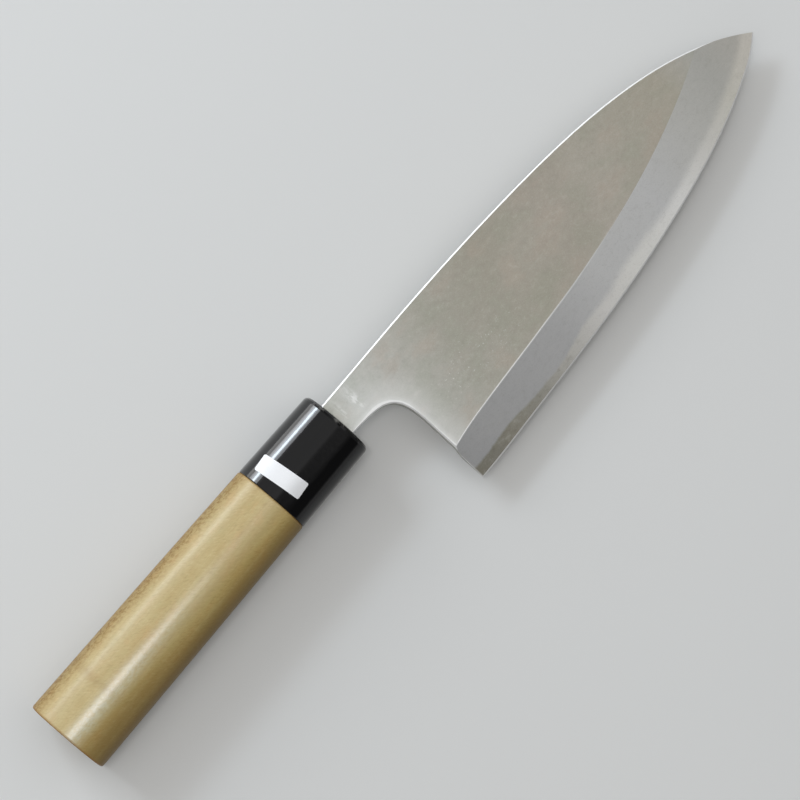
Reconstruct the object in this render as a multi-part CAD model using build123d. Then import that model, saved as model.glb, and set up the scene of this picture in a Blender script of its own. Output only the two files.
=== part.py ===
from build123d import *
import math
import os

# Deba knife lying on the flat of its blade, bevel side up.
# X runs from the butt to the tip, +Y is the spine's side, -Y the edge's, and +Z the bevel's.
# It is modelled with X from the ferrule's front face, Y from the handle's axis and Z from the flat back.

# Blade, seen from its flat
blade_length = 165.0  # heel to tip
heel_setback = 17.0  # ferrule to heel
spine_height = 7.2  # handle axis up to the highest part of the spine
heel_depth = 46.1  # handle axis down to the edge at the heel
tip_depth = 19.7  # handle axis down to the tip
bevel_height = 14.5  # edge up to the ridge, near the heel

# Blade, in its thickness
spine_thickness = 6.6
flat_taper = 1.4  # how much thinner the flat is at the heel's ridge than at the spine
micro_bevel_width = 0.45
micro_bevel_rise = 0.26
edge_ease = 0.45  # along the spine, the neck and the choil
hollow_depth = 0.4
hollow_spine_rim = 3.2
hollow_edge_rim = 2.4
hollow_heel_rim = 6.0
hollow_tip_rim = 15.0
steel_thickness = 1.5  # the hard steel at the heel
steel_scarf = 10.0  # length over which the hard steel runs out behind the heel
steel_scarf_end = 0.4

# Neck and choil
neck_top = 6.9
neck_bottom = 6.15
neck_seat = 4.0  # how far the neck goes into the handle
choil_setback = 18.4  # ferrule to the back of the choil
choil_top = 20.0  # handle axis down to where the throat begins
choil_foot_setback = 17.95
choil_foot_rise = 12.9  # heel up to the foot of the choil
choil_step = 0.75  # how far the end of the bevel stands behind the choil's foot
choil_step_height = 3.8
choil_round = 3.0

# Tang
tang_length = 82.0
tang_root_height = 9.6
tang_root_thickness = 5.2
tang_tip_height = 4.6
tang_tip_thickness = 3.2

# Handle and ferrule
handle_length = 128.5
ferrule_length = 31.8
grip_height = 28.5  # spine side to edge side, at the butt
grip_thickness = 23.4
grip_ridge = 0.5  # how far the soft ridge stands over the oval
ferrule_wall = 3.6
mouth_seal_depth = 1.4
butt_round = 0.8
joint_round = 0.7
ferrule_front_round = 1.5
ferrule_back_round = 0.25

# Blank label on the ferrule
label_width = 5.9
label_height = 16.5  # seen from above, so without its wrap
label_corner = 0.6
label_thickness = 0.1
label_inset = 6.95  # ferrule's back face to the label's middle
label_rise = 2.05  # handle axis to the label's middle, towards the spine
label_tilt = 5.4

# Fits
tang_clearance = 0.15
glue_gap = 0.05
label_gap = 0.02
overrun = 6.0  # how far every cutting shape runs past what it cuts

# Stations along the blade. Each row holds shares of the length ahead of the heel, of the spine's fall
# to the tip, of the edge's rise to the tip, of the bevel's height and of the spine's thickness.
# The first and the last row lie beyond the blade.
station_shares = [
    (-0.05, 0.009, -0.004, 0.816, 0.985),
    (0.00, 0.005, 0.000, 0.881, 0.980),
    (0.05, 0.002, 0.004, 0.958, 0.970),
    (0.12, 0.000, 0.022, 0.991, 0.955),
    (0.20, 0.003, 0.044, 1.003, 0.930),
    (0.35, 0.027, 0.090, 1.035, 0.870),
    (0.50, 0.079, 0.167, 1.070, 0.790),
    (0.62, 0.152, 0.263, 1.117, 0.715),
    (0.74, 0.282, 0.397, 1.197, 0.625),
    (0.84, 0.456, 0.556, 1.274, 0.535),
    (0.92, 0.670, 0.730, 1.340, 0.455),
    (0.97, 0.858, 0.873, 1.390, 0.405),
    (1.00, 1.000, 1.000, 1.425, 0.375),
    (1.05, 1.270, 1.230, 1.485, 0.325),
]

# Forge weld between the hard steel and the iron: shares of the blade's length and of the steel's thickness.
weld_shares = [
    (0.00, 1.00),
    (0.09, 0.97),
    (0.13, 1.01),
    (0.16, 0.96),
    (0.20, 0.70),
    (0.24, 0.60),
    (0.28, 0.67),
    (0.33, 0.96),
    (0.37, 0.98),
    (0.43, 0.85),
    (0.49, 0.97),
    (0.57, 0.81),
    (0.64, 0.63),
    (0.74, 0.63),
    (0.84, 0.54),
    (0.92, 0.49),
    (1.00, 0.48),
]

# Pulls of the throat's curve: a share of the choil's setback, and a share of the throat's depth.
throat_shares = [(1.00, 0.93), (0.76, 0.96)]

# Grip sections: shares of the handle's length ahead of the butt, of its height and of its thickness.
grip_shares = [
    (0.00, 1.000, 1.000),
    (0.40, 0.966, 0.970),
    (0.75, 0.927, 0.930),
    (1.00, 0.888, 0.894),
]
oval_power_share = 2.25
ridge_turn_share = 0.15  # of a radian, from the handle's top towards the edge's side
ridge_spread_share = 0.32
grip_points = 24
rim_steps = 3
hollow_columns = 13
hollow_rows = 9
hollow_end_power_share = 6

tip_fall = spine_height + tip_depth
edge_rise = heel_depth - tip_depth
flat_slope = flat_taper / (spine_height + heel_depth - bevel_height)
blank_top = spine_thickness + overrun
reach = spine_height + heel_depth + 3 * overrun


def between(table, share):
    """A row of a table of shares, read on straight lines between its rows."""
    for low, high in zip(table, table[1:]):
        if share <= high[0]:
            break
    way = (share - low[0]) / (high[0] - low[0])
    return [a + (b - a) * way for a, b in zip(low, high)]


def station(share):
    """Places of the spine, edge and ridge, and the blade's thickness at the spine line and the ridge."""
    along, fall, rise, bevel, thick = between(station_shares, share)
    x = heel_setback + along * blade_length
    spine = spine_height - fall * tip_fall
    edge = -heel_depth + rise * edge_rise
    ridge = edge + bevel * bevel_height
    top = thick * spine_thickness
    return x, spine, edge, ridge, top, top - flat_slope * (spine_height - ridge)


stations = [station(row[0]) for row in station_shares]


def outline():
    """The blade and neck seen from the flat, with room left beyond the edge and the tip."""
    below = -heel_depth - overrun
    foot = (choil_foot_setback, -heel_depth + choil_foot_rise)
    heel_end = (choil_foot_setback - choil_step, foot[1] - choil_step_height)
    lean = (heel_end[0] - heel_setback) / (heel_end[1] + heel_depth)
    start = (heel_setback - lean * overrun, below)
    throat = (choil_setback, -choil_top)
    throat_depth = choil_top - neck_bottom
    pulls = [(a * choil_setback, -neck_bottom - (1 - b) * throat_depth) for a, b in throat_shares]
    spine = [(x, y) for x, y, *_ in stations[1:]]
    last = stations[-1]
    edges = [
        Spline((-neck_seat, neck_top), *spine),
        Polyline(spine[-1], (last[0], below), start),
        FilletPolyline(start, heel_end, foot, throat, radius=choil_round),
        Bezier(throat, *pulls, (0, -neck_bottom)),
        Polyline((0, -neck_bottom), (-neck_seat, -neck_bottom), (-neck_seat, neck_top)),
    ]
    return make_face(Curve() + edges)


def above_the_flat():
    """What lies over the blade's flat: it thins to the tip on a curve, and from the spine to the ridge."""
    start_y = spine_height + overrun
    lift = flat_slope * overrun
    first_x = -neck_seat - overrun
    top = blank_top + overrun
    heights = [(first_x, spine_thickness), (0, spine_thickness)]
    heights += [(x, z) for x, _, _, _, z, _ in stations[1:]]
    points = [(x, start_y, z + lift) for x, z in heights]
    corners = [(points[-1][0], start_y, top), (first_x, start_y, top)]
    profile = make_face(Curve() + [Spline(*points), Polyline(points[-1], *corners, points[0])])
    return Solid.extrude(profile.face(), Vector(0, -reach, -flat_slope * reach))


def past_the_bevel():
    """What lies beyond the edge and over the bevel: sections of both bevels, joined lengthwise."""
    sections = []
    far = -heel_depth - 2 * overrun
    for x, _, edge, ridge, _, ridge_z in stations:
        bevel_slope = (ridge_z - micro_bevel_rise) / (ridge - edge - micro_bevel_width)
        micro_slope = micro_bevel_rise / micro_bevel_width
        corners = [
            (x, far, micro_slope * (far - edge)),
            (x, edge + micro_bevel_width, micro_bevel_rise),
            (x, ridge + overrun, ridge_z + bevel_slope * overrun),
            (x, ridge + overrun, blank_top),
            (x, far, blank_top),
        ]
        sections.append(make_face(Polyline(*corners, close=True)))
    return loft(sections)


def hollow():
    """The dish ground into the flat back. Outside its rim the surface dips away and cuts nothing."""
    start = hollow_heel_rim / blade_length
    end = 1 - hollow_tip_rim / blade_length
    grid = []
    for column in range(hollow_columns):
        s = 2 * column / (hollow_columns - 1) - 1
        x, spine, edge, _, top, _ = station(start + (end - start) * (s + 1) / 2)
        high = spine - hollow_spine_rim
        low = edge + hollow_edge_rim
        line = []
        for row in range(hollow_rows):
            t = 2 * row / (hollow_rows - 1) - 1
            depth = hollow_depth * (top / spine_thickness) * (1 - t**2 - abs(s) ** hollow_end_power_share)
            line.append((x, (high + low) / 2 + t * (high - low) / 2, depth))
        grid.append(line)
    surface = Face.make_surface_from_array_of_points(grid)
    return Solid.extrude(surface, Vector(0, 0, -overrun))


def blade():
    """The whole blade and neck, before the hard steel is told from the iron."""
    body = extrude(outline(), blank_top) - above_the_flat()
    flat = body.faces().sort_by(Axis.Z)[-1]
    first_x = -neck_seat + edge_ease
    last_x = stations[-1][0] - edge_ease
    rim = [e for e in flat.edges() if e.center().Y > -heel_depth and first_x < e.center().X < last_x]
    body = chamfer(rim, edge_ease)
    return body - past_the_bevel() - hollow()


def steel_side():
    """Everything on the hard steel's side of the weld: it runs out in a scarf under the neck."""
    first_x = heel_setback - steel_scarf
    points = [(heel_setback + along * blade_length, z * steel_thickness) for along, z in weld_shares]
    far_x = points[-1][0] + overrun
    corners = [
        (far_x, points[-1][1]),
        (far_x, -overrun),
        (first_x, -overrun),
        (first_x, steel_scarf_end),
    ]
    places = [(x, -reach, z) for x, z in points]
    around = [(x, -reach, z) for x, z in corners]
    profile = make_face(Curve() + [Spline(*places), Polyline(places[-1], *around, places[0])])
    return Solid.extrude(profile.face(), Vector(0, 2 * reach, 0))


def tang_form(clearance):
    """The tapered tang, from its root inside the handle's mouth to its tip."""
    middle_y = (neck_top - neck_bottom) / 2
    middle_z = spine_thickness / 2
    ends = [
        (-neck_seat, tang_root_height, tang_root_thickness),
        (-tang_length - clearance, tang_tip_height, tang_tip_thickness),
    ]
    sections = []
    for x, height, thickness in ends:
        plane = Plane(origin=(x, middle_y, middle_z), x_dir=(0, 1, 0), z_dir=(-1, 0, 0))
        sections.append(plane * Rectangle(height + 2 * clearance, thickness + 2 * clearance))
    return loft(sections)


def neck_slot(clearance, back):
    """The straight slot that the neck stands in, from past the ferrule's front face to the given depth."""
    low = (-back, -neck_bottom - clearance, -clearance)
    high = (overrun, neck_top + clearance, spine_thickness + clearance)
    size = [b - a for a, b in zip(low, high)]
    return Pos(*low) * Box(*size, align=(Align.MIN, Align.MIN, Align.MIN))


def grip_section(x, inset):
    """One section of the grip, at a place along it: an oval with a soft ridge on the bevel's side."""
    _, high, thick = between(grip_shares, (x + handle_length) / handle_length)
    half_height = grip_height * high / 2
    half_thickness = grip_thickness * thick / 2
    points = []
    for step in range(grip_points):
        angle = 2 * math.pi * step / grip_points - math.pi / 2
        across = abs(math.cos(angle) / half_height) ** oval_power_share
        through = abs(math.sin(angle) / half_thickness) ** oval_power_share
        from_ridge = (angle - math.pi / 2 - ridge_turn_share) / ridge_spread_share
        radius = (across + through) ** (-1 / oval_power_share) + grip_ridge * math.exp(-(from_ridge**2))
        radius -= inset
        points.append((x, radius * math.cos(angle), spine_thickness / 2 + radius * math.sin(angle)))
    return make_face(Spline(*points, periodic=True))


def grip_form(start, end, inset=0):
    """The grip's outer form between two places along the handle, moved in by the inset."""
    joints = [(share - 1) * handle_length for share, _, _ in grip_shares]
    places = [start] + [x for x in joints if start < x < end] + [end]
    return loft([grip_section(x, inset) for x in places], ruled=True)


def rim(x, radius, side):
    """The rounded rim of an end face: sections that close in on a quarter circle."""
    sections = []
    for step in range(rim_steps + 1):
        turn = math.pi / 2 * step / rim_steps
        place = x - side * radius * (1 - math.sin(turn))
        sections.append(grip_section(place, radius * (1 - math.cos(turn))))
    return loft(sections, ruled=True)


def rounded_grip(start, end, start_round, end_round):
    """A length of the grip with both its rims rounded."""
    middle = grip_form(start + start_round, end - end_round)
    return middle + rim(start, start_round, -1) + rim(end, end_round, 1)


def grip():
    """The wooden handle: grip, tenon for the ferrule, slot for the neck and burnt-in hole for the tang."""
    wood = rounded_grip(-handle_length, -ferrule_length, butt_round, joint_round)
    wood += grip_form(-ferrule_length, -mouth_seal_depth, ferrule_wall + glue_gap)
    wood -= neck_slot(tang_clearance, neck_seat + tang_clearance)
    return wood - tang_form(tang_clearance)


def ferrule():
    """The horn collar, bored for the tenon."""
    collar = rounded_grip(-ferrule_length, 0, ferrule_back_round, ferrule_front_round)
    return collar - grip_form(-ferrule_length - overrun, overrun, ferrule_wall)


def mouth_seal():
    """The resin that closes the ferrule's mouth round the neck."""
    plug = grip_form(-mouth_seal_depth, 0, ferrule_wall + glue_gap)
    return plug - neck_slot(glue_gap, mouth_seal_depth + overrun)


def label():
    """The blank paper label, wrapped over the ferrule."""
    outside = grip_form(-ferrule_length, 0, -label_gap - label_thickness)
    inside = grip_form(-ferrule_length - overrun, overrun, -label_gap)
    spot = Pos(label_inset - ferrule_length, label_rise, spine_thickness) * Rot(0, 0, label_tilt)
    patch = extrude(spot * RectangleRounded(label_width, label_height, label_corner), grip_thickness)
    return (outside - inside) & patch


whole_blade = blade()
hard_steel = whole_blade & steel_side()
iron = whole_blade - steel_side() + tang_form(0)

pieces = {
    "blade_iron": iron,
    "edge_steel": hard_steel,
    "handle": grip(),
    "horn_ferrule": ferrule(),
    "mouth_seal": mouth_seal(),
    "ferrule_label": label(),
}

# The origin is under the middle of the whole knife, where the handle's underside would meet a table.
middle_x = (heel_setback + blade_length - handle_length) / 2
middle_y = (grip_height / 2 - heel_depth) / 2
underside = (spine_thickness - grip_thickness) / 2

os.makedirs("parts", exist_ok=True)
for name, piece in pieces.items():
    placed = Pos(-middle_x, -middle_y, -underside) * piece
    placed.label = name
    export_step(placed, f"parts/{name}.step")
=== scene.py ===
"""A deba knife lying on its back.

The blade's iron and edge steel, the wooden handle, the horn ferrule with its blank paper label, and
the resin in the ferrule's mouth.
"""

import math

import bmesh
import bpy
from mathutils import Euler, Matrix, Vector

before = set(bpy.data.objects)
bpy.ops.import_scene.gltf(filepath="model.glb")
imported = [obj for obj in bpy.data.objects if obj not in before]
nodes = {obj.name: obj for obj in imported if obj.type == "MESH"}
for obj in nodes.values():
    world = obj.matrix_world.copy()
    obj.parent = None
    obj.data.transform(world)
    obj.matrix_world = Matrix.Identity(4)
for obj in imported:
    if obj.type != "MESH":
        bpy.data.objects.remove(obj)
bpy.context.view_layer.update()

MM = 0.001
HEEL_X = -9.75 * MM  # where the edge starts
BLADE_LENGTH = 165.0 * MM
LOWEST_Y = -32.0 * MM  # the blade's lines are heights above this,
LINE_SPAN = 64.0 * MM  # and are read as shares of this span
CHOIL_X = -8.5 * MM
NECK_Y = 9.8 * MM  # the neck's side towards the edge
THROAT_ROUND = 9.0 * MM  # the round between the neck and the choil
SPECKS_X = 15.0 * MM  # the middle of the bright specks behind the heel
SPECKS_Y = -3.0 * MM
SCUFFS_X = -18.0 * MM  # two bands of scuffs across the neck
FAINT_SCUFFS_X = -23.5 * MM
FERRULE_FRONT_X = -26.75 * MM
JOINT_X = -58.55 * MM  # where the ferrule meets the wood
STAIN_X = -136.1 * MM  # a faint ring round the handle
BUTT_X = -155.25 * MM
HANDLE_AXIS_Y = 15.925 * MM
# The shoulder, crest and skirt bands carry painted highlights; the ridge band carries only the coat's shine.
SHOULDER_UP = 6.8 * MM  # bands along the handle, by how far they lie from its axis towards the spine
RIDGE_UP = -0.5 * MM
CREST_UP = -2.0 * MM
SKIRT_UP = -3.6 * MM
HANDLE_TAPER = 0.0125  # how much nearer the axis each side comes, for each metre towards the blade
BEVEL_LEAN = (-0.048, -0.062)  # the normal's lean between the flat and the bevel
PORE_TURN = math.radians(-38)  # the wood's pores run aslant

# The blade's lines from heel to tip: share of its length, and height in mm above LOWEST_Y.
RIDGE_LINE = [(0.0, 14.61), (0.05, 15.86), (0.12, 16.79), (0.28, 18.39), (0.42, 20.11), (0.56, 23.36),
              (0.68, 26.98), (0.79, 31.98), (0.88, 37.68), (0.92, 40.52), (1.0, 47.0)]
WELD_LINE = [(0.0, 5.61), (0.05, 5.89), (0.12, 6.63), (0.2, 5.93), (0.28, 6.68), (0.35, 8.87), (0.42, 9.29),
             (0.5, 11.36), (0.56, 12.08), (0.62, 12.73), (0.68, 14.32), (0.74, 16.75), (0.79, 18.45),
             (0.84, 20.87), (0.92, 25.69), (1.0, 33.0)]

# Colours at their places on a ramp: red, green and blue, 0 to 255.
# The blade's ramps run from heel to tip: partly the metal's own tone, partly painted reflection, lighter and
# darker where the room is mirrored along the blade.
FLAT_TONE_AND_REFLECTION = [(0.0, (184, 184, 174)), (0.05, (195, 196, 191)), (0.13, (181, 180, 173)),
                (0.23, (166, 163, 152)), (0.4, (164, 159, 146)), (0.55, (169, 162, 150)),
                (0.72, (173, 168, 155)), (0.82, (174, 168, 154)), (0.9, (177, 175, 168))]
BEVEL_TONE_AND_REFLECTION = [(0.0, (186, 186, 186)), (0.3, (194, 194, 194)), (0.45, (211, 211, 210)),
                 (0.62, (209, 209, 208)), (0.78, (197, 196, 191)), (0.88, (185, 184, 178)),
                 (1.0, (186, 182, 174))]
STEEL_TONE_AND_REFLECTION = [(0.0, (152, 148, 135)), (0.05, (152, 149, 137)), (0.1, (157, 153, 139)),
                 (0.2, (175, 172, 162)), (0.3, (209, 207, 201)), (0.4, (231, 229, 225)),
                 (0.5, (238, 237, 232)), (0.66, (236, 235, 232)), (0.78, (216, 214, 208)),
                 (0.88, (208, 205, 195)), (1.0, (207, 202, 193))]
GRAIN_COLOURS = [(0.3, (185, 162, 109)), (0.5, (191, 170, 118)), (0.7, (197, 178, 127))]

TABLE_HALF_WIDTH = 12.0
WHITE = (1.0, 1.0, 1.0)
LAMP_AIM_Y = 0.016
LAMP_AIM_Z = 0.01
# Each lamp's place, width, height, radiance in white walls, and colour.
LAMPS = {
    "window": ((0.0, 1.12, 0.68), 0.6, 0.7, 2.6, (0.91, 0.95, 1.0)),
    "window_middle": ((0.0, 1.09, 0.66), 0.6, 0.36, 2.1, (0.83, 0.91, 1.0)),
    "window_core": ((0.0, 1.084, 0.698), 0.6, 0.16, 8.8, (0.76, 0.88, 1.0)),
    "ceiling_light": ((-0.17, 0.12, 1.5), 0.1, 0.4, 30.0, WHITE),
}
BACKDROP_STRENGTH = 0.85  # the room as the camera sees it
CAMERA_PLACE = (-0.10944, 0.00552, 0.98705)
CAMERA_TURN = (4.4895, -3.832, -49.5965)  # in degrees
CAMERA_LENS = 140.85
SENSOR_WIDTH = 36.0


def shade(red, green, blue):
    """A colour written 0 to 255, as the shader wants it."""
    parts = [c / 255 for c in (red, green, blue)]
    return tuple(c / 12.92 if c <= 0.04045 else ((c + 0.055) / 1.055) ** 2.4 for c in parts) + (1.0,)


class Reading:
    """One output of a node, so that masks are written as sums."""

    def __init__(self, finish, socket):
        self.finish = finish
        self.socket = socket

    def other(self, name):
        return Reading(self.finish, self.socket.node.outputs[name])

    def sum(self, operation, first, second):
        return self.finish.node("ShaderNodeMath", {"operation": operation}, {0: first, 1: second})

    def __add__(self, other):
        return self.sum("ADD", self, other)

    def __radd__(self, other):
        return self.sum("ADD", other, self)

    def __sub__(self, other):
        return self.sum("SUBTRACT", self, other)

    def __rsub__(self, other):
        return self.sum("SUBTRACT", other, self)

    def __mul__(self, other):
        return self.sum("MULTIPLY", self, other)

    def __rmul__(self, other):
        return self.sum("MULTIPLY", other, self)

    def __truediv__(self, other):
        return self.sum("DIVIDE", self, other)

    def __pow__(self, other):
        return self.sum("POWER", self, other)

    def __neg__(self):
        return self.sum("MULTIPLY", self, -1.0)

    def __abs__(self):
        return self.sum("ABSOLUTE", self, 0.0)


class Finish:
    """The nodes of one material or of the room, and the few ways that they are used here."""

    def __init__(self, holder, places="Object"):
        self.holder = holder
        holder.use_nodes = True
        self.tree = holder.node_tree
        self.tree.nodes.clear()
        self.place = self.node("ShaderNodeTexCoord").other(places)
        self.x, self.y, self.z = self.parts(self.place)

    def node(self, kind, settings=None, inputs=None, output=0):
        """A new node with its settings and inputs, read at one output."""
        made = self.tree.nodes.new(kind)
        for name, value in (settings or {}).items():
            if name == "stops":
                ramp = made.color_ramp
                while len(ramp.elements) < len(value):
                    ramp.elements.new(0.5)
                for stop, (at, colour) in zip(ramp.elements, value):
                    stop.position = at
                    stop.color = shade(*colour)
            elif name == "points":
                curve = made.mapping.curves[0]
                while len(curve.points) < len(value):
                    curve.points.new(0.5, 0.5)
                for point, place in zip(curve.points, value):
                    point.location = place
                    point.handle_type = "AUTO"
                made.mapping.update()
            else:
                setattr(made, name, value)
        for key, value in (inputs or {}).items():
            if isinstance(value, Reading):
                self.tree.links.new(value.socket, made.inputs[key])
            else:
                made.inputs[key].default_value = value
        return Reading(self, made.outputs[output]) if made.outputs else None

    def parts(self, vector):
        split = self.node("ShaderNodeSeparateXYZ", {}, {0: vector})
        return [split.other(axis) for axis in "XYZ"]

    def facing(self):
        """The three parts of the surface's normal."""
        return self.parts(self.node("ShaderNodeNewGeometry").other("True Normal"))

    def step(self, value, low, high):
        """0 at low and 1 at high, soft between; low may be the larger."""
        return self.node("ShaderNodeMapRange", {"interpolation_type": "SMOOTHSTEP"},
                         {"Value": value, "From Min": low, "From Max": high})

    def near(self, distance, width):
        """1 where the distance is nothing and 0 from that width on."""
        return self.step(abs(distance), width, 0.0)

    def larger(self, first, second):
        return self.node("ShaderNodeMath", {"operation": "MAXIMUM"}, {0: first, 1: second})

    def ramp(self, share, colours):
        return self.node("ShaderNodeValToRGB", {"stops": colours}, {"Fac": share})

    def blend(self, share, first, second, kind="MIX"):
        return self.node("ShaderNodeMix", {"data_type": "RGBA", "blend_type": kind, "clamp_factor": True},
                         {0: share, 6: first, 7: second}, 2)

    def laid_over(self, colour, *layers):
        """The colour under layers, each a share and a colour, 0 to 255."""
        for share, layer in layers:
            colour = self.blend(share, colour, shade(*layer))
        return colour

    def noise(self, along, across, through, detail=3.0, roughness=0.55, turn=0.0, distortion=0.0):
        """Noise with cells that long, wide and deep, in mm."""
        return self.node("ShaderNodeTexNoise", {"noise_dimensions": "3D"},
                         {"Vector": self.stretched(along, across, through, turn), "Scale": 1.0,
                          "Detail": detail, "Roughness": roughness, "Distortion": distortion})

    def stretched(self, along, across, through, turn=0.0):
        """The place, with a pattern's cells that long, wide and deep, in mm."""
        return self.node("ShaderNodeMapping", {"vector_type": "TEXTURE"},
                         {"Vector": self.place, "Rotation": (0.0, 0.0, turn),
                          "Scale": (along * MM, across * MM, through * MM)})

    def line(self, share, points):
        """A line of the blade as a height in metres, read at that share of its length."""
        points = [(at, height * MM / LINE_SPAN) for at, height in points]
        return self.node("ShaderNodeFloatCurve", {"points": points}, {"Value": share}) * LINE_SPAN + LOWEST_Y

    def bump(self, height, distance, strength, under=None):
        """A normal raised by that height times a distance in mm, on top of another one."""
        inputs = {"Height": height, "Distance": distance * MM, "Strength": strength}
        if under is not None:
            inputs["Normal"] = under
        return self.node("ShaderNodeBump", {}, inputs)

    def done(self, **sockets):
        """The shader at the end of the tree. Names are the shader's own, with _ for a space."""
        inputs = {name.replace("_", " "): value for name, value in sockets.items()}
        shader = self.node("ShaderNodeBsdfPrincipled", {}, inputs)
        self.node("ShaderNodeOutputMaterial", {}, {"Surface": shader})
        return self.holder


def material(name):
    return Finish(bpy.data.materials.new(name))


def blade_finish(name):
    """Ground and polished metal: warm grey iron on the flat, cooler on the bevel, hard steel at the edge, with
    painted reflection along the blade and painted highlights on the throat, the ridge, the heel and the eased
    edges.
    """
    f = material(name)
    share = (f.x - HEEL_X) / BLADE_LENGTH
    _, facing_y, facing_z = f.facing()
    front = f.step(facing_z, 0.3, 0.6)  # the side that shows, and none of the spine or the back
    bevel = f.step(facing_y, *BEVEL_LEAN) * front
    # The eased edges get a painted highlight: they are laid over in near-white below.
    eased = f.step(facing_z, 0.93, 0.88) * front  # the rounded edges of the spine and the choil
    wander = f.noise(3.5, 6.0, 9.0, 4.0) - 0.5
    above_weld = f.y - f.line(share, WELD_LINE) + wander * (1.2 * MM)
    above_ridge = f.y - f.line(share, RIDGE_LINE)
    weld_width = f.step(share, 0.25, 0.5) * (1.4 * MM) + 0.5 * MM
    steel = bevel * (1.0 - f.step(above_weld, -weld_width, weld_width))

    cloud = f.noise(26.0, 18.0, 20.0, 4.0, 0.55)
    tint = f.noise(13.0, 9.0, 10.0, 4.0, 0.6)
    mottle = f.noise(2.4, 1.8, 2.0, 4.0, 0.65)
    grit = f.noise(0.5, 0.4, 0.5, 2.0, 0.6)
    brushed = f.noise(16.0, 0.2, 1.0, 3.0, 0.6)
    # Painted reflection along the blade: these ramps brighten and darken from heel to tip over the metal's own
    # tone.
    flat_tone_and_reflection = f.ramp(share * 0.9 + 0.1, FLAT_TONE_AND_REFLECTION)
    colour = f.blend(bevel, flat_tone_and_reflection, f.ramp(share, BEVEL_TONE_AND_REFLECTION))
    colour = f.blend(steel, colour, f.ramp(share, STEEL_TONE_AND_REFLECTION))
    stained = 0.11 - 0.02 * bevel + f.step(share, 0.4, 0.2) * 0.3 * steel
    paled = 0.09 - 0.03 * bevel + 0.2 * steel
    colour = f.laid_over(
        colour,
        (f.step(cloud, 0.4, 0.7) * 0.1, (216, 213, 206)),
        (f.step(tint, 0.5, 0.66) * (1.0 - bevel) * 0.22, (180, 162, 147)),
        (f.step(tint, 0.5, 0.34) * (1.0 - bevel) * 0.17, (160, 168, 150)),
        (f.step(mottle, 0.5, 0.72) * stained, (130, 124, 112)),
        (f.step(mottle, 0.48, 0.28) * paled, (222, 218, 211)),
        (f.step(grit, 0.52, 0.7) * 0.12, (140, 134, 124)),
        (f.step(grit, 0.48, 0.3) * 0.08, (222, 219, 213)),
    )

    # Painted reflection: a light haze spreads from the throat, with a painted highlight on its very rim.
    throat_x = f.larger(f.x - (CHOIL_X - THROAT_ROUND), 0.0)
    throat_y = f.larger(f.y - (NECK_Y - THROAT_ROUND), 0.0)
    from_throat = (throat_x * throat_x + throat_y * throat_y) ** 0.5 - THROAT_ROUND
    painted_throat_sheen = f.step(from_throat, 11.0 * MM, 1.0 * MM) * (0.13 + cloud * 0.2)
    painted_throat_sheen = painted_throat_sheen + f.step(from_throat, 2.4 * MM, 0.3 * MM) * 0.22 + f.step(from_throat, 0.8 * MM, 0.4 * MM) * 0.3
    painted_throat_sheen = painted_throat_sheen * f.step(above_ridge, -0.5 * MM, 0.5 * MM) * front
    scuffed = f.larger(f.near(f.x - SCUFFS_X, 2.6 * MM), f.near(f.x - FAINT_SCUFFS_X, 1.8 * MM) * 0.6)
    scuffs = f.step(f.noise(0.9, 2.6, 3.0, 4.0), 0.36, 0.62) * f.near(f.y - HANDLE_AXIS_Y, 8.5 * MM)
    scuffs = scuffs * scuffed * front
    specks = f.step(f.noise(0.8, 0.8, 1.0, 2.0), 0.64, 0.74)
    specks = specks * f.near(f.y - SPECKS_Y, 10.0 * MM) * f.near(f.x - SPECKS_X, 34.0 * MM) * front
    # Painted highlights: a bright line along the ridge near the heel, and one down the heel below the ridge.
    ridge = f.near(above_ridge, 0.4 * MM) * f.step(share, 0.6, 0.3) * front
    heel = f.near(f.x - HEEL_X, 0.6 * MM) * f.step(above_ridge, 0.3 * MM, -0.3 * MM) * front
    # Painted highlights on the throat, ridge, heel and eased edges, with the real scuffs and specks, all laid
    # over in near-white.
    bright = painted_throat_sheen
    for mark in (scuffs * 0.6, specks * 0.45, ridge * 0.8, heel * 0.8, eased * 0.95):
        bright = f.larger(bright, mark)
    colour = f.laid_over(colour, (bright, (246, 246, 245)))

    rough = 0.56 + (mottle - 0.5) * 0.1 + (brushed - 0.5) * 0.1 - eased * 0.04
    plain = 1.0 - eased
    scratches = f.bump(brushed * plain, 0.003, 0.5, f.bump(mottle * plain, 0.004, 0.4))
    return f.done(Base_Color=colour, Metallic=0.75, Roughness=rough, Normal=scratches)


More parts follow.
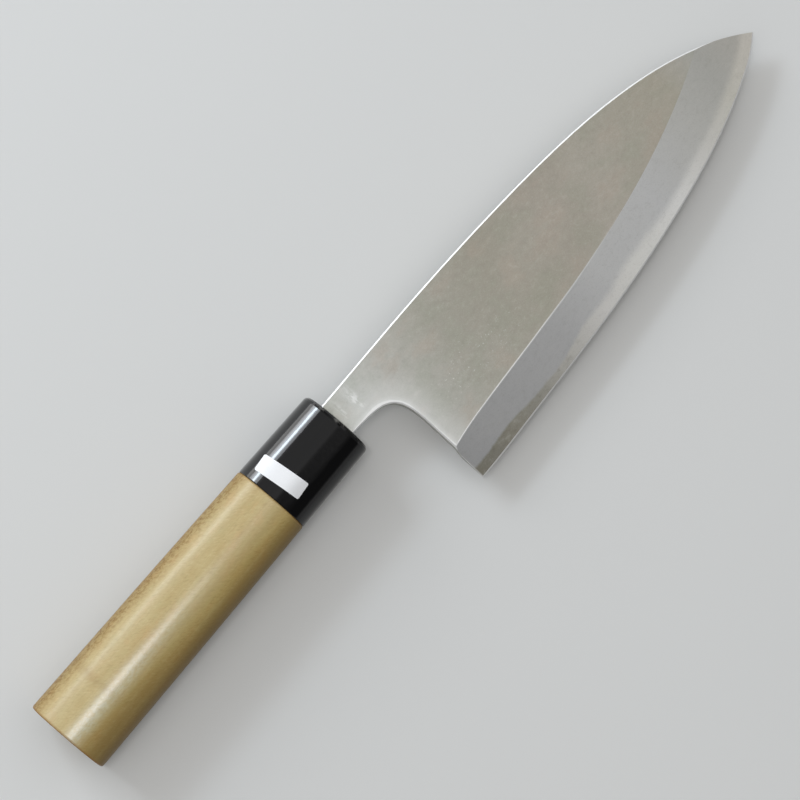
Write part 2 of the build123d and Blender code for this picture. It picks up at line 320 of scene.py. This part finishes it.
def wood_finish(name):
    """Pale ho wood, oiled by hands: fine grain along it, end grain on the butt, painted highlights along the
    top, and painted shade, darker and browner, on the edge's side, at the butt's edge and at the ferrule.
    """
    f = material(name)
    facing_x, _, _ = f.facing()
    cut_end = f.step(abs(facing_x), 0.75, 0.9)
    up = f.y - HANDLE_AXIS_Y  # towards the spine's side
    grain = f.noise(46.0, 2.2, 2.2, 5.0, distortion=0.3)
    fibre = f.noise(5.0, 0.3, 0.3, 3.0, 0.6)
    fleck = f.noise(1.7, 0.5, 0.8, 3.0, 0.65, PORE_TURN)
    pores = f.step(f.noise(1.8, 1.0, 1.0, 4.0, 0.7, PORE_TURN), 0.44, 0.62)
    speckle = f.step(f.noise(1.5, 0.8, 0.8), 0.4, 0.6)
    patch = f.noise(20.0, 9.0, 9.0)
    warmth = f.noise(7.0, 3.5, 4.0, 3.0, 0.6)

    # Painted highlights: paler bands along the top of the handle, and the shoulder also gets more coat.
    shoulder_sheen = f.near(up - SHOULDER_UP, 4.6 * MM)
    crest_highlight = f.near(up - CREST_UP, 4.6 * MM) * f.step(f.x, -75.0 * MM, -145.0 * MM)
    skirt_highlight = f.near(up - SKIRT_UP, 3.4 * MM) * f.step(f.x, -145.0 * MM, -90.0 * MM)
    narrowing = (f.x - BUTT_X) * HANDLE_TAPER
    # Painted shade: the edge's side of the handle is darkened and browned, more so towards the butt.
    edge_side_shade = f.step(up - narrowing, -7.0 * MM, -13.5 * MM) * 0.76
    palm_side_shade = f.step(up, -3.2 * MM, -10.0 * MM) * f.step(f.x, -70.0 * MM, -150.0 * MM) * 0.52
    spine_side = f.step(up + narrowing, 9.5 * MM, 13.8 * MM)
    stain = f.near(f.x - STAIN_X + (patch - 0.5) * (3.0 * MM), 3.0 * MM) * f.step(up, -12.0 * MM, 8.0 * MM)
    colour = f.laid_over(
        f.ramp(grain, GRAIN_COLOURS),
        (f.step(patch, 0.4, 0.7) * 0.4, (180, 150, 92)),
        (f.step(warmth, 0.52, 0.68) * 0.2, (204, 160, 104)),
        (f.step(warmth, 0.48, 0.32) * 0.16, (172, 166, 112)),
        (f.step(fibre, 0.52, 0.75) * 0.22, (142, 114, 66)),
        (f.step(fleck, 0.52, 0.7) * 0.25, (146, 118, 68)),
        (f.step(fleck, 0.48, 0.3) * 0.3, (212, 196, 150)),
        (skirt_highlight * 0.32, (210, 192, 148)),
        (crest_highlight * (0.26 + 0.2 * speckle), (212, 217, 204)),
        (shoulder_sheen * 0.16, (220, 208, 176)),
        (f.larger(edge_side_shade, palm_side_shade), (112, 88, 42)),
    )
    # Painted shade: the edge's side is also warmed and saturated, as the wood looks in shade.
    colour = f.blend(f.step(up, 0.0, -8.0 * MM) * 0.9, colour, shade(255, 251, 230), "MULTIPLY")
    colour = f.laid_over(
        colour,
        (spine_side * (0.35 + 0.55 * pores), (134, 98, 48)),
        (stain * 0.28, (150, 122, 74)),
    )

    rings = f.node("ShaderNodeTexWave", {"wave_type": "BANDS", "bands_direction": "Y", "wave_profile": "SIN"},
                   {"Vector": f.stretched(60.0, 14.0, 60.0), "Scale": 1.0, "Distortion": 1.4, "Detail": 3.0,
                    "Detail Scale": 1.2}).other("Fac")
    dots = f.step(f.noise(1.0, 0.25, 0.25, 2.0), 0.45, 0.7)
    end_colour = f.laid_over(f.blend(rings, shade(176, 148, 98), shade(192, 168, 120)),
                             (dots * 0.4, (120, 92, 52)))
    # Painted shade: darker and browner just behind the butt's end and where the wood meets the ferrule.
    rim_shade = f.near(f.x - BUTT_X, 1.0 * MM) * (1.0 - cut_end) * 0.7 + f.near(f.x - JOINT_X, 0.9 * MM) * 0.35
    colour = f.laid_over(f.blend(cut_end, colour, end_colour), (rim_shade, (150, 100, 46)))

    rough = 0.52 + (fleck - 0.5) * 0.16 + cut_end * 0.15
    ridge = f.near(up - RIDGE_UP, 7.0 * MM) * (0.42 + 0.42 * f.step(f.x, -85.0 * MM, -130.0 * MM))
    shine = f.larger(0.16 + ridge, shoulder_sheen * 0.38) * (1.0 - cut_end * 0.85)
    fibres = f.bump(fibre, 0.012, 0.5, f.bump(fleck, 0.012, 0.5))
    return f.done(Base_Color=colour, Roughness=rough, Normal=fibres, Coat_Weight=shine, Coat_Roughness=0.25,
                  Specular_IOR_Level=0.3)


def horn_finish(name):
    """Black buffalo horn, polished, with faint fibres along it and a rubbed front rim whose pale flecks are
    partly wear and partly painted glints.
    """
    f = material(name)
    facing_x, _, _ = f.facing()
    up = f.y - HANDLE_AXIS_Y
    fibre = f.noise(24.0, 0.7, 0.7, 4.0)
    rub = f.noise(1.4, 2.4, 2.4, 4.0, 0.65)
    # The front rim's pale flecks are partly wear and partly painted glints off the rounded rim.
    rim_wear_and_glints = f.near(f.x - FERRULE_FRONT_X, 1.7 * MM) * f.step(rub, 0.53, 0.66) * f.step(facing_x, 0.97, 0.85)
    colour = f.blend(f.step(fibre, 0.5, 0.8) * 0.6, shade(5, 5, 6), shade(16, 14, 13))
    colour = f.laid_over(colour, (rim_wear_and_glints * 0.9, (132, 130, 124)))
    rough = 0.09 + (fibre - 0.5) * 0.04 + rim_wear_and_glints * 0.25 + (rub - 0.5) * 0.03
    lacquer = f.step(up, 5.6 * MM, 6.8 * MM) * (1.0 - f.step(up, 8.2 * MM, 9.6 * MM) * 0.5)
    return f.done(Base_Color=colour, Roughness=rough, Normal=f.bump(fibre, 0.006, 0.4), Coat_Weight=lacquer,
                  Coat_Roughness=0.09, Coat_IOR=1.62, Specular_IOR_Level=0.38)


def resin_finish(name):
    """Dark resin, matt and a little grainy."""
    f = material(name)
    grains = f.noise(0.8, 0.8, 0.8, 4.0)
    return f.done(Base_Color=f.blend(grains, shade(18, 16, 15), shade(40, 36, 32)),
                  Roughness=0.55 + (grains - 0.5) * 0.3, Normal=f.bump(grains, 0.08, 0.6))


def paper_finish(name):
    """White coated label paper, blank."""
    f = material(name)
    fibres = f.noise(0.5, 0.3, 0.4, 4.0)
    return f.done(Base_Color=f.blend(fibres, shade(238, 239, 240), shade(248, 248, 249)),
                  Roughness=0.42 + (fibres - 0.5) * 0.2, Normal=f.bump(fibres, 0.008, 0.4))


def stand(name, data):
    """An object of the studio, put in the scene."""
    made = bpy.data.objects.new(name, data)
    bpy.context.scene.collection.objects.link(made)
    return made


def table():
    """The plain pale table that the knife lies on, darker to the camera than to the knife."""
    mesh = bpy.data.meshes.new("pale_table")
    shape = bmesh.new()
    bmesh.ops.create_grid(shape, x_segments=1, y_segments=1, size=TABLE_HALF_WIDTH)
    shape.to_mesh(mesh)
    shape.free()
    board = stand("pale_table", mesh)
    f = material("pale_matt_table")
    path = f.node("ShaderNodeLightPath")
    seen = f.larger(path.other("Is Camera Ray"), path.other("Is Glossy Ray"))
    seen = f.larger(seen, path.other("Is Transmission Ray"))
    table_colour = f.blend(seen, shade(72, 72, 71), shade(222, 222, 220))
    mesh.materials.append(f.done(Base_Color=table_colour, Roughness=0.9))


def lamp(name, place, width, height, radiance, colour):
    """A soft rectangular lamp that looks at the handle's axis from its own x."""
    light = bpy.data.lights.new(name, "AREA")
    light.shape = "RECTANGLE"
    light.size = width
    light.size_y = height
    light.energy = radiance * math.pi * width * height
    light.color = colour
    made = stand(name, light)
    made.location = place
    aim = Vector((place[0], LAMP_AIM_Y, LAMP_AIM_Z))
    made.rotation_euler = (aim - Vector(place)).to_track_quat("-Z", "Y").to_euler()


def room():
    """A plain room: a pale ceiling, a bright wall on the spine's side, dim elsewhere."""
    world = bpy.data.worlds.new("studio")
    f = Finish(world, "Generated")
    # The ceiling comes down lower on the spine's side, and on the edge's side towards the tip.
    lower = f.step(f.y, 0.0, 0.15) * 0.2 + f.step(f.y, 0.03, -0.2) * f.step(f.x, -0.02, 0.1) * 0.26
    # A dark beam crosses it on the edge's side, and the bevel mirrors it.
    beam = f.near(f.x - 0.055, 0.13) * f.step(f.y, 0.08, -0.14)
    ceiling = f.step(f.z + lower, 0.88, 0.995) * (1.0 - beam * 0.85)
    wall = f.step(f.y, 0.82, 0.96)
    skirting = f.step(f.z, 0.25, 0.05)
    ends = f.step(abs(f.x), 0.3, 0.75) * f.step(f.z, 0.85, 0.6)
    glow = 0.1 + ceiling * 0.64 + wall * 2.0 + f.larger(skirting * 0.5, ends * 0.35)
    seen = f.node("ShaderNodeLightPath").other("Is Camera Ray")
    background = f.node("ShaderNodeBackground", {},
                        {"Color": (*WHITE, 1.0), "Strength": seen * BACKDROP_STRENGTH + (1.0 - seen) * glow})
    f.node("ShaderNodeOutputWorld", {}, {"Surface": background})
    bpy.context.scene.world = world


def camera():
    """The camera at the photo's angle."""
    data = bpy.data.cameras.new("camera")
    data.lens = CAMERA_LENS
    data.sensor_width = SENSOR_WIDTH
    data.clip_start = 0.05
    data.clip_end = 60.0
    made = stand("camera", data)
    made.location = CAMERA_PLACE
    made.rotation_euler = Euler([math.radians(angle) for angle in CAMERA_TURN], "XYZ")
    bpy.context.scene.camera = made


FINISHES = {
    "blade_iron": blade_finish("ground_iron"),
    "edge_steel": blade_finish("ground_edge_steel"),
    "handle": wood_finish("oiled_ho_wood"),
    "horn_ferrule": horn_finish("polished_black_horn"),
    "mouth_seal": resin_finish("dark_resin"),
    "ferrule_label": paper_finish("blank_label_paper"),
}
for node_name, finish in FINISHES.items():
    for slot in nodes[node_name].material_slots:
        slot.material = finish

table()
room()
for lamp_name, settings in LAMPS.items():
    lamp(lamp_name, *settings)
camera()
bpy.context.scene.view_settings.view_transform = "Standard"
